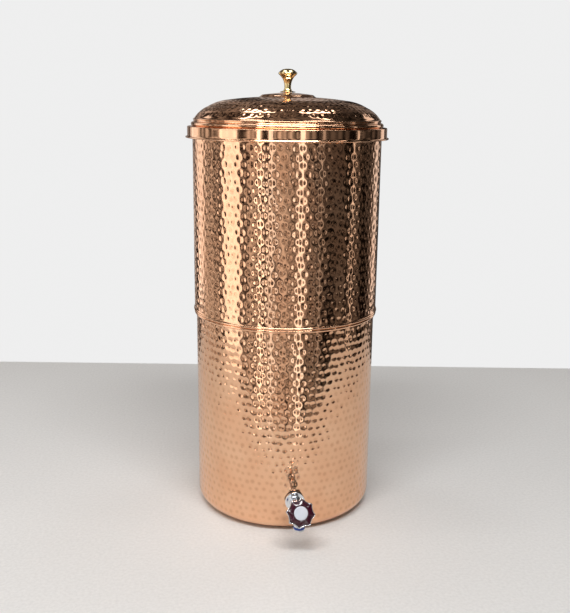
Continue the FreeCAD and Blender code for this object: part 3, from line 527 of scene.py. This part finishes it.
for piece, node, slot, finish in (
    (outlet_ring, "outlet_ring", "blue_ring", blue_plastic),
    (outlet_nozzle, "outlet_nozzle", "white_nozzle", white_plastic),
):
    for vertex in piece.data.vertices:
        vertex.co.y -= SPOUT_REACH * MM
        vertex.co.z += TAP_HEIGHT * MM
    piece.data.materials.append(finish)
    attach(piece, "base_vessel")
    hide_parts(node)

# The hand knob: a chromed shell with eight hollows cut in its edge, a wine-red plastic face
# pressed into it, and a pale round cap over the screw.
VALVE_RAKE = 30.0
SEAT_REACH = 155.0
HANDLE_START = 14.2
HANDLE_HEIGHT = 8.3
HANDLE_RADIUS = 17.8
HANDLE_TURN = math.radians(-9.0)
HOLLOW_RADIUS = 14.0
HOLLOW_DEPTH = 2.4
HOLLOW_BLEND = 0.18
LOBES = 8
KNOB_STEPS = 192
CAP_STEPS = 96
FACE_SINK = 2.6
PLAIN_SHARE = 0.5
PLAIN_FADE = 0.35


def edge_radius(angle, shrink):
    """How far out the scalloped edge stands at an angle round the knob."""
    hollow_radius = HOLLOW_RADIUS + shrink
    middle = HANDLE_RADIUS - HOLLOW_DEPTH + HOLLOW_RADIUS
    part = 2 * math.pi / LOBES
    off = ((angle - HANDLE_TURN) % part) - part / 2
    under = hollow_radius ** 2 - (middle * math.sin(off)) ** 2
    round_edge = HANDLE_RADIUS - shrink
    if under <= 0:
        return round_edge
    hollow = middle * math.cos(off) - math.sqrt(under)
    mixed = math.exp(-round_edge / HOLLOW_BLEND) + math.exp(-hollow / HOLLOW_BLEND)
    return -HOLLOW_BLEND * math.log(mixed)


def scalloped_piece(name, levels):
    """A turned blank whose rings of (edge share, shrink, height) follow the scalloped edge."""
    outline = [(0, levels[0][2])]
    outline += [(HANDLE_RADIUS * share, height) for share, _, height in levels]
    outline += [(0, levels[-1][2])]
    piece = turn_piece(name, outline, KNOB_STEPS)
    for vertex in piece.data.vertices:
        reach = math.hypot(vertex.co.x, vertex.co.y) / MM
        if reach < 1e-4:
            continue
        height = vertex.co.z / MM
        match = min(
            levels,
            key=lambda level: abs(level[2] - height) + abs(level[0] * HANDLE_RADIUS - reach),
        )
        angle = math.atan2(vertex.co.y, vertex.co.x)
        scallop = max(0.0, min(1.0, (match[0] - PLAIN_SHARE) / PLAIN_FADE))
        edge = edge_radius(angle, match[1]) * match[0]
        even = (HANDLE_RADIUS - match[1]) * match[0]
        wanted = even + (edge - even) * scallop
        vertex.co.x *= wanted / reach
        vertex.co.y *= wanted / reach
    return piece


def stand_on_valve(piece):
    """Turns the knob's piece and lays it on the raked axis of the valve."""
    bpy.ops.object.select_all(action="DESELECT")
    piece.select_set(True)
    bpy.context.view_layer.objects.active = piece
    piece.rotation_mode = "ZXY"
    piece.rotation_euler = (math.radians(90 - VALVE_RAKE), 0, 0)
    piece.location = (0, -SEAT_REACH * MM, TAP_HEIGHT * MM)
    bpy.ops.object.transform_apply(location=True, rotation=True, scale=True)


top = HANDLE_START + HANDLE_HEIGHT
face_low = top - FACE_SINK
shell_levels = [
    (0.33, 0.0, HANDLE_START + 0.3),
    (0.34, 0.0, HANDLE_START),
    (0.62, 0.0, HANDLE_START),
    (0.66, 0.0, HANDLE_START + 0.4),
    (0.90, 0.3, HANDLE_START + 1.0),
    (0.98, 0.1, HANDLE_START + 1.6),
    (1.0, 0.0, HANDLE_START + 2.4),
    (1.0, 0.0, top - 1.4),
    (1.0, 0.05, top - 0.7),
    (1.0, 0.25, top - 0.25),
    (1.0, 0.55, top),
    (1.0, 0.85, top - 0.15),
    (1.0, 0.95, top - 0.6),
    (1.0, 0.95, face_low),
    (0.5, 0.0, face_low),
]
handle_shell = scalloped_piece("chromed_knob_shell", shell_levels)
face_levels = [
    (0.9, 1.05, face_low),
    (1.0, 1.05, face_low),
    (1.0, 1.05, face_low + 1.7),
    (1.0, 1.2, face_low + 2.2),
    (1.0, 1.6, face_low + 2.5),
    (0.96, 1.6, face_low + 2.75),
    (0.8, 1.6, face_low + 3.4),
    (0.62, 1.0, face_low + 4.05),
    (0.56, 1.0, face_low + 4.2),
    (0.5, 0.6, face_low + 4.15),
    (0.49, 0.6, face_low + 3.0),
]
handle_face = scalloped_piece("wine_red_knob_face", face_levels)
cap_outline = [(0, face_low + 3.0), (8.2, face_low + 3.0), (8.35, face_low + 3.2)]
cap_outline += [(8.35, face_low + 4.2), (8.1, face_low + 4.6), (7.6, face_low + 4.8)]
cap_outline += [(5.0, face_low + 5.05), (0, face_low + 5.2)]
handle_cap = turn_piece("pale_knob_cap", cap_outline, CAP_STEPS)
wine_plastic = plastic(
    "wine red plastic", (0.055, 0.006, 0.018), (0.035, 0.004, 0.012), 0.1, 0.2, coat=0.6
)
cap_plastic = plastic(
    "pale cap plastic", (0.72, 0.75, 0.82), (0.66, 0.70, 0.78), 0.15, 0.25, coat=0.4
)
for piece, node, slot, finish in (
    (handle_shell, "tap_handle", "chrome", chrome),
    (handle_face, "tap_handle_face", "handle_face", wine_plastic),
    (handle_cap, "tap_handle_cap", "handle_cap", cap_plastic),
):
    stand_on_valve(piece)
    piece.data.materials.append(finish)
    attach(piece, "tap_handle_turning")
    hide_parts(node)

# The seals: black rubber washers on both sides of each wall that the tap's shank and the candle
# stems pass through, the washer of the valve's jumper, and the packing under the gland nut.
rubber = plastic("black rubber", (0.025, 0.025, 0.026), (0.016, 0.016, 0.017), 0.55, 0.75)
SEALS = ["tap_outer_washer", "tap_inner_washer", "gland_packing", "valve_washer"]
SEALS += [f"candle_{n}_{side}_washer" for n in (1, 2) for side in ("top", "bottom")]
finish_nodes(SEALS, rubber)

# The candles inside the upper vessel: porous fired ceramic domes cemented into white plastic
# caps, held through the floor by wing nuts.
ceramic = plastic("porous ceramic", (0.74, 0.71, 0.63), (0.66, 0.62, 0.53), 0.75, 0.95)
for number in (1, 2):
    finish_nodes([f"candle_{number}_ceramic"], ceramic)
    finish_nodes([f"candle_{number}_cap", f"candle_{number}_wing_nut"], white_plastic)

# The board: a pale painted panel with eased edges for the object to stand on, turned square
# to the camera.
TURN = math.radians(7.3)
BOARD_SIZE = (1.7, 1.02, 0.04)
BOARD_SET_BACK = 0.07
bpy.ops.object.select_all(action="DESELECT")
board_place = (0, BOARD_SET_BACK, -BOARD_SIZE[2] / 2)
bpy.ops.mesh.primitive_cube_add(size=1, location=board_place)
floor = bpy.context.object
floor.name = "pale_board"
floor.scale = BOARD_SIZE
floor.rotation_euler = (0, 0, -TURN)
bpy.ops.object.transform_apply(location=True, rotation=True, scale=True)
edge = floor.modifiers.new("eased edge", "BEVEL")
edge.width = 0.003
edge.segments = 3
bpy.ops.object.modifier_apply(modifier=edge.name)
floor_finish, floor_nodes, floor_links = new_material("pale board paint")
floor_shader = floor_nodes["Principled BSDF"]
floor_shader.inputs["Roughness"].default_value = 0.6
floor_place = floor_nodes.new("ShaderNodeTexCoord")
grain = noise(floor_nodes, floor_links, floor_place, 260.0, 5.0)
floor_tone = span(floor_nodes, floor_links, grain.outputs["Fac"], 0.0, 1.0)
floor_colour = blend_colours(
    floor_nodes, floor_links, floor_tone, (0.80, 0.80, 0.79), (0.72, 0.72, 0.71)
)
floor_links.new(floor_colour, floor_shader.inputs["Base Color"])
floor.data.materials.append(floor_finish)

# The room: dim and warm, with soft drapes, brighter on the left and darker overhead.  It lights
# the object and is mirrored in it; the camera sees a plain pale backdrop in its place.
DRAPE_SCALE = 11.0
DRAPE_STRETCH = (1.0, 1.0, 0.28)
DRAPE_DARK = (0.015, 0.010, 0.008, 1)
DRAPE_LIGHT = (0.62, 0.55, 0.50, 1)
BACKDROP = (0.86, 0.86, 0.86, 1)
world = bpy.data.worlds.new("studio")
bpy.context.scene.world = world
world.use_nodes = True
world_nodes = world.node_tree.nodes
world_links = world.node_tree.links
room = world_nodes["Background"]
direction = world_nodes.new("ShaderNodeTexCoord")
squash = world_nodes.new("ShaderNodeMapping")
squash.inputs["Scale"].default_value = DRAPE_STRETCH
world_links.new(direction.outputs["Generated"], squash.inputs["Vector"])
drapes = world_nodes.new("ShaderNodeTexNoise")
drapes.inputs["Scale"].default_value = DRAPE_SCALE
drapes.inputs["Detail"].default_value = 4.0
world_links.new(squash.outputs["Vector"], drapes.inputs["Vector"])
room_ramp = world_nodes.new("ShaderNodeValToRGB")
room_ramp.color_ramp.elements[0].position = 0.44
room_ramp.color_ramp.elements[0].color = DRAPE_DARK
room_ramp.color_ramp.elements[1].position = 0.60
room_ramp.color_ramp.elements[1].color = DRAPE_LIGHT
world_links.new(drapes.outputs["Fac"], room_ramp.inputs["Fac"])
world_links.new(room_ramp.outputs["Color"], room.inputs["Color"])
sides = world_nodes.new("ShaderNodeSeparateXYZ")
world_links.new(direction.outputs["Generated"], sides.inputs["Vector"])
side_light = span(
    world_nodes, world_links, sides.outputs["X"], 1.3, 0.2, from_low=-0.2, from_high=0.6
)
ceiling_shade = span(
    world_nodes, world_links, sides.outputs["Z"], 1.0, 0.4, from_low=0.2, from_high=0.6
)
room_light = world_nodes.new("ShaderNodeMath")
room_light.operation = "MULTIPLY"
world_links.new(side_light, room_light.inputs[0])
world_links.new(ceiling_shade, room_light.inputs[1])
world_links.new(room_light.outputs["Value"], room.inputs["Strength"])
seen = world_nodes.new("ShaderNodeBackground")
seen.inputs["Color"].default_value = BACKDROP
chooser = world_nodes.new("ShaderNodeMixShader")
path = world_nodes.new("ShaderNodeLightPath")
world_links.new(path.outputs["Is Camera Ray"], chooser.inputs["Fac"])
world_links.new(room.outputs["Background"], chooser.inputs[1])
world_links.new(seen.outputs["Background"], chooser.inputs[2])
world_links.new(chooser.outputs["Shader"], world_nodes["World Output"].inputs["Surface"])

# The lamps: tall soft panels that draw streaks down the copper with dark gaps between them, and
# smaller ones overhead.  Swing is in degrees from the camera, counted to the right.
TALL = 2.6
STANDING = 0.10
WARM = (1.0, 0.96, 0.93)
COOL = (0.95, 0.98, 1.0)
WHITE = (1.0, 1.0, 1.0)
look = Vector((math.sin(TURN), math.cos(TURN), 0))
right = Vector((math.cos(TURN), -math.sin(TURN), 0))
lit_spot = Vector((0, 0, 0.3))
for name, swing, distance, level, size, glow, colour in (
    ("left_wide_lamp", -66, 1.3, STANDING, (0.55, TALL), 1.3, WARM),
    ("left_thin_lamp", -30, 1.5, STANDING, (0.09, TALL), 2.2, WARM),
    ("middle_left_lamp", -17, 1.9, STANDING, (0.16, TALL), 1.3, COOL),
    ("middle_right_lamp", 17, 1.8, STANDING, (0.16, TALL), 1.5, COOL),
    ("right_lamp", 40, 1.5, STANDING, (0.08, TALL), 0.5, WARM),
    ("right_thin_lamp", 84, 1.4, STANDING, (0.06, TALL), 1.0, WARM),
    ("right_back_lamp", 135, 1.4, 0.60, (0.3, 1.4), 0.9, WARM),
    ("left_back_lamp", -125, 1.4, 0.60, (0.4, 1.4), 0.9, WARM),
    ("overhead_front_lamp", 0, 1.0, 1.9, (1.8, 0.3), 19.0, WHITE),
    ("overhead_left_lamp", -135, 0.57, 1.9, (0.22, 0.5), 5.0, WHITE),
    ("overhead_right_lamp", 135, 0.57, 1.9, (0.22, 0.5), 5.0, WHITE),
    ("high_left_lamp", -80, 1.0, 1.8, (0.10, 1.2), 6.0, WARM),
    ("high_right_lamp", 75, 1.0, 1.8, (0.06, 1.2), 6.0, WARM),
):
    lamp_data = bpy.data.lights.new(name, "AREA")
    lamp_data.shape = "RECTANGLE"
    lamp_data.size, lamp_data.size_y = size
    lamp_data.energy = glow * math.pi * size[0] * size[1]
    lamp_data.color = colour
    lamp = bpy.data.objects.new(name, lamp_data)
    bpy.context.collection.objects.link(lamp)
    turn = math.radians(swing)
    lamp.location = (-look * math.cos(turn) + right * math.sin(turn)) * distance
    lamp.location.z = level
    aim = lit_spot - lamp.location
    lamp.rotation_euler = aim.to_track_quat("-Z", "Y").to_euler()

# The camera: it stands where the photograph's did, just over a metre in front of the object and
# about level with its lid, tipped down a little.  Its tilt and roll are in degrees.
CAMERA_DISTANCE = 1.080
CAMERA_HEIGHT = 0.533
CAMERA_SIDE = 0.0032
CAMERA_TILT = 13.8
CAMERA_ROLL = 0.7
camera_data = bpy.data.cameras.new("photo_camera")
camera_data.sensor_width = 36.0
camera_data.lens = 48.77
camera_data.shift_x = -0.0042
camera = bpy.data.objects.new("photo_camera", camera_data)
bpy.context.collection.objects.link(camera)
camera.location = right * CAMERA_SIDE - look * CAMERA_DISTANCE + Vector((0, 0, CAMERA_HEIGHT))
camera.rotation_mode = "XYZ"
camera.rotation_euler = (math.radians(90 - CAMERA_TILT), 0, -TURN)
bpy.context.view_layer.update()
roll = Matrix.Rotation(math.radians(CAMERA_ROLL), 3, "Z")
camera.rotation_euler = (camera.rotation_euler.to_matrix() @ roll).to_euler()
scene = bpy.context.scene
scene.camera = camera
scene.render.resolution_x = 1140
scene.render.resolution_y = 1226
scene.view_settings.view_transform = "Standard"
